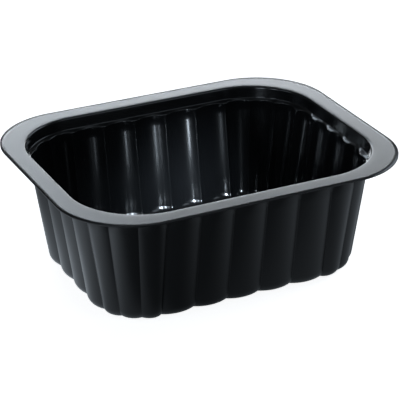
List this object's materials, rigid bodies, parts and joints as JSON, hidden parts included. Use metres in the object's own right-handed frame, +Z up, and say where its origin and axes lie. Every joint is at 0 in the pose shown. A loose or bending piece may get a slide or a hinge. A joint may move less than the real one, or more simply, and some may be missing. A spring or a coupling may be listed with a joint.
{
  "type": "meal tray",
  "caption": "Deep rectangular plastic meal tray with fluted, drafted walls, rounded corners and a flat sealing flange.",
  "frame": {"origin": "middle of the tray's plan, at the plane it stands on", "axes": "+X along the tray's length, +Y across it, +Z up, towards the open mouth"},
  "size_m": [0.187, 0.15, 0.065],
  "materials": {
    "tray": "satin black, moulded sheet"
  },
  "bodies": {
    "root": {"tray": "tray"}
  },
  "joints": []
}
